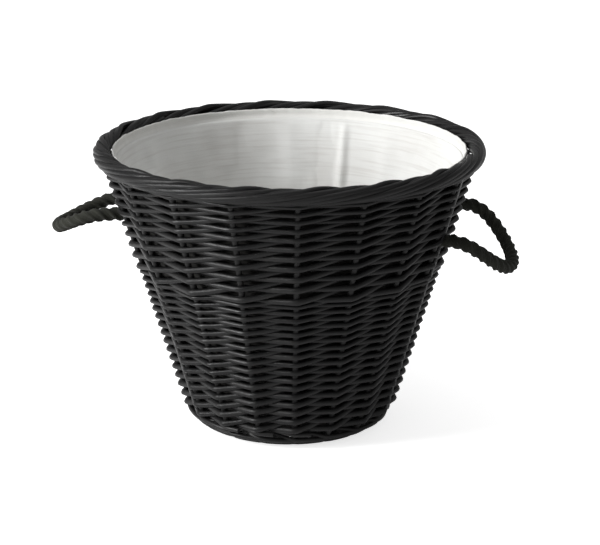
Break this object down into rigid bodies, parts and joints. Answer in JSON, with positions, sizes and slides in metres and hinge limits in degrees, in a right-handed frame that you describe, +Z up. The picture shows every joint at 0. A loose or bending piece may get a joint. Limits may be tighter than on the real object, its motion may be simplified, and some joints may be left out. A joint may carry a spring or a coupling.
{
  "type": "wicker log basket",
  "caption": "Round tapered wicker basket with a rolled border, a sewn fabric liner and two swinging rope handles, for logs or storage.",
  "frame": {"origin": "centre of the ring that the basket rests on, on the floor", "axes": "+Z up through the mouth; X runs through the middles of the two rope handles, with the right handle at +X; the side that faces the viewer is -Y"},
  "size_m": [0.6143, 0.51, 0.38],
  "materials": {
    "willow": "dyed black willow rod, satin",
    "base_willow": "dyed black willow rod, satin, a little browner underneath",
    "liner_cloth": "off-white plain-woven cotton, matte",
    "hem_cloth": "cream turned and stitched edge, matte",
    "rope": "dull black laid rope, fibrous and matte"
  },
  "bodies": {
    "basket": {"pierced_base_stick_1": "base_willow", "pierced_base_stick_2": "base_willow", "pierced_base_stick_3": "base_willow", "pierced_base_stick_4": "base_willow", "through_base_stick_1": "base_willow", "through_base_stick_2": "base_willow", "through_base_stick_3": "base_willow", "through_base_stick_4": "base_willow", "through_base_stick_5": "base_willow", "base_weave": "base_willow", "upsett": "willow", "stake_01": "willow", "stake_02": "willow", "stake_03": "willow", "stake_04": "willow", "stake_05": "willow", "stake_06": "willow", "stake_07": "willow", "stake_08": "willow", "stake_09": "willow", "stake_10": "willow", "stake_11": "willow", "stake_12": "willow", "stake_13": "willow", "stake_14": "willow", "stake_15": "willow", "stake_16": "willow", "stake_17": "willow", "stake_18": "willow", "lower_randing": "willow", "upper_randing": "willow", "border": "willow", "liner_floor": "liner_cloth", "liner_wall": "liner_cloth", "liner_hem": "hem_cloth", "knotted_end_right_front": "rope", "knotted_end_right_back": "rope", "knotted_end_left_front": "rope", "knotted_end_left_back": "rope"},
    "right_handle": {"handle_rope_right": "rope"},
    "left_handle": {"handle_rope_left": "rope"}
  },
  "joints": [
    {"name": "right_handle_swing", "type": "hinge", "parent": "basket", "child": "right_handle", "pos_m": [0.22059, 0.00062, 0.277], "axis": [-0.0319, -0.9938, -0.1065], "range_deg": [-54, 98]},
    {"name": "left_handle_swing", "type": "hinge", "parent": "basket", "child": "left_handle", "pos_m": [-0.22314, -0.00049, 0.2855], "axis": [0.0248, 0.9962, -0.0829], "range_deg": [-72, 80]}
  ]
}
